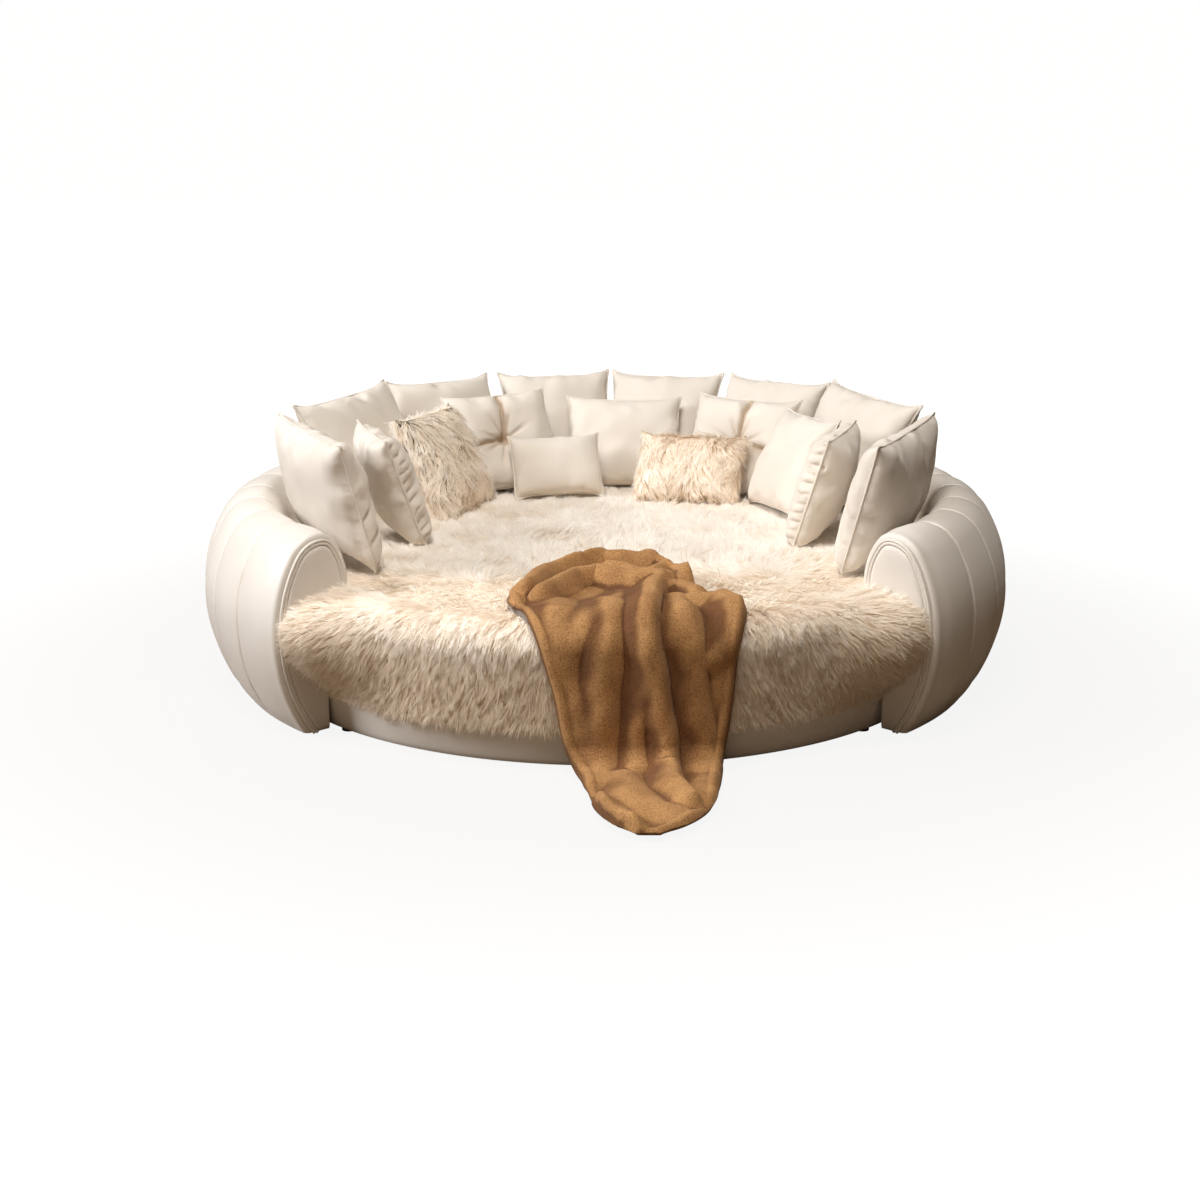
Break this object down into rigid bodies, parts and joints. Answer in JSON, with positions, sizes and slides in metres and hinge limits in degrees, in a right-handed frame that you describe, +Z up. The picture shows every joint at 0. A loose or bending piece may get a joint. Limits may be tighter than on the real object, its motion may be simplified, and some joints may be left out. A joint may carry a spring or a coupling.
{
  "type": "round bed",
  "caption": "Round lounge bed with a padded C-shaped bolster round a low upholstered base, fur-covered mattress, scatter cushions and a throw over its open front.",
  "frame": {"origin": "on the floor at the middle of the round base, the underside of its centre glide", "axes": "+Z up, the open front faces -Y, +X to the right as seen from the front"},
  "size_m": [2.7, 3.0493, 0.8819],
  "materials": {
    "cover": "smooth, soft sheen, sewn in panels",
    "plywood": "raw birch plywood",
    "zinc_steel": "zinc plated",
    "glide_plastic": "matt",
    "ticking": "woven ticking",
    "ivory_fur": "long-pile faux fur",
    "beige_fur": "shaggy faux fur",
    "camel_fleece": "matt fleece",
    "cream_cushion": "matt velvet-like weave"
  },
  "bodies": {
    "root": {"apron_back": "cover", "apron_front": "cover", "board_over": "plywood", "board_under": "plywood", "bolster_arm_left": "cover", "bolster_arm_right": "cover", "bolster_back_left": "cover", "bolster_back_right": "cover", "bolt_left_lower": "zinc_steel", "bolt_left_upper": "zinc_steel", "bolt_rear_lower": "zinc_steel", "bolt_rear_upper": "zinc_steel", "bolt_right_lower": "zinc_steel", "bolt_right_upper": "zinc_steel", "cap_left": "cover", "cap_right": "cover", "carcass_arm_left": "plywood", "carcass_arm_right": "plywood", "carcass_back_left": "plywood", "carcass_back_right": "plywood", "deck_left": "plywood", "deck_right": "plywood", "drum_back": "plywood", "drum_front": "plywood", "fur_cover": "ivory_fur", "glide_arm_left": "glide_plastic", "glide_arm_right": "glide_plastic", "glide_back_left": "glide_plastic", "glide_back_right": "glide_plastic", "glide_centre": "glide_plastic", "glide_drum_back_left": "glide_plastic", "glide_drum_back_right": "glide_plastic", "glide_drum_front_left": "glide_plastic", "glide_drum_front_right": "glide_plastic", "ledge_back": "plywood", "ledge_front": "plywood", "mattress": "ticking", "strap_left": "zinc_steel", "strap_right": "zinc_steel", "welt_left": "cover", "welt_right": "cover"},
    "cushion_arm_left_body": {"cushion_arm_left": "cream_cushion"},
    "cushion_arm_right_body": {"cushion_arm_right": "cream_cushion"},
    "cushion_back_left_inner_body": {"cushion_back_left_inner": "cream_cushion"},
    "cushion_back_left_mid_body": {"cushion_back_left_mid": "cream_cushion"},
    "cushion_back_left_outer_body": {"cushion_back_left_outer": "cream_cushion"},
    "cushion_back_right_inner_body": {"cushion_back_right_inner": "cream_cushion"},
    "cushion_back_right_mid_body": {"cushion_back_right_mid": "cream_cushion"},
    "cushion_back_right_outer_body": {"cushion_back_right_outer": "cream_cushion"},
    "cushion_gathered_left_body": {"cushion_gathered_left": "cream_cushion"},
    "cushion_gathered_right_body": {"cushion_gathered_right": "cream_cushion"},
    "cushion_lumbar_plain_body": {"cushion_lumbar_plain": "cream_cushion"},
    "cushion_lumbar_shag_body": {"cushion_lumbar_shag": "beige_fur"},
    "cushion_shag_square_body": {"cushion_shag_square": "beige_fur"},
    "cushion_square_centre_body": {"cushion_square_centre": "cream_cushion"},
    "cushion_square_right_body": {"cushion_square_right": "cream_cushion"},
    "cushion_tufted_left_body": {"cushion_tufted_left": "cream_cushion"},
    "cushion_tufted_right_body": {"cushion_tufted_right": "cream_cushion"},
    "throw_body": {"throw": "camel_fleece"}
  },
  "joints": [
    {"name": "lift_arm_left", "type": "slide", "parent": "root", "child": "cushion_arm_left_body", "axis": [-0.2322, -0.1143, 0.9659], "range_m": [0, 0.45]},
    {"name": "lift_arm_right", "type": "slide", "parent": "root", "child": "cushion_arm_right_body", "axis": [0.2365, -0.1093, 0.9655], "range_m": [0, 0.45]},
    {"name": "lift_back_left_inner", "type": "slide", "parent": "root", "child": "cushion_back_left_inner_body", "axis": [-0.1041, 0.4657, 0.8788], "range_m": [0, 0.45]},
    {"name": "lift_back_left_mid", "type": "slide", "parent": "root", "child": "cushion_back_left_mid_body", "axis": [-0.2726, 0.3879, 0.8805], "range_m": [0, 0.45]},
    {"name": "lift_back_left_outer", "type": "slide", "parent": "root", "child": "cushion_back_left_outer_body", "axis": [-0.4091, 0.2334, 0.8821], "range_m": [0, 0.45]},
    {"name": "lift_back_right_inner", "type": "slide", "parent": "root", "child": "cushion_back_right_inner_body", "axis": [0.1126, 0.4653, 0.878], "range_m": [0, 0.45]},
    {"name": "lift_back_right_mid", "type": "slide", "parent": "root", "child": "cushion_back_right_mid_body", "axis": [0.2902, 0.3768, 0.8796], "range_m": [0, 0.45]},
    {"name": "lift_back_right_outer", "type": "slide", "parent": "root", "child": "cushion_back_right_outer_body", "axis": [0.4128, 0.2269, 0.8821], "range_m": [0, 0.45]},
    {"name": "lift_gathered_left", "type": "slide", "parent": "root", "child": "cushion_gathered_left_body", "axis": [-0.3081, -0.1103, 0.9449], "range_m": [0, 0.45]},
    {"name": "lift_gathered_right", "type": "slide", "parent": "root", "child": "cushion_gathered_right_body", "axis": [0.2759, -0.0966, 0.9563], "range_m": [0, 0.45]},
    {"name": "lift_lumbar_plain", "type": "slide", "parent": "root", "child": "cushion_lumbar_plain_body", "axis": [0, 0, 1], "range_m": [0, 0.5]},
    {"name": "lift_lumbar_shag", "type": "slide", "parent": "root", "child": "cushion_lumbar_shag_body", "axis": [0, 0, 1], "range_m": [0, 0.5]},
    {"name": "lift_shag_square", "type": "slide", "parent": "root", "child": "cushion_shag_square_body", "axis": [-0.4078, 0.1476, 0.9011], "range_m": [0, 0.45]},
    {"name": "lift_square_centre", "type": "slide", "parent": "root", "child": "cushion_square_centre_body", "axis": [0.0208, 0.4767, 0.8788], "range_m": [0, 0.45]},
    {"name": "lift_square_right", "type": "slide", "parent": "root", "child": "cushion_square_right_body", "axis": [0.4184, 0.1359, 0.898], "range_m": [0, 0.45]},
    {"name": "lift_tufted_left", "type": "slide", "parent": "root", "child": "cushion_tufted_left_body", "axis": [-0.1912, 0.4355, 0.8796], "range_m": [0, 0.45]},
    {"name": "lift_tufted_right", "type": "slide", "parent": "root", "child": "cushion_tufted_right_body", "axis": [0.2204, 0.4093, 0.8854], "range_m": [0, 0.45]},
    {"name": "lift_throw", "type": "slide", "parent": "root", "child": "throw_body", "axis": [0, 0, 1], "range_m": [0, 0.5]}
  ]
}
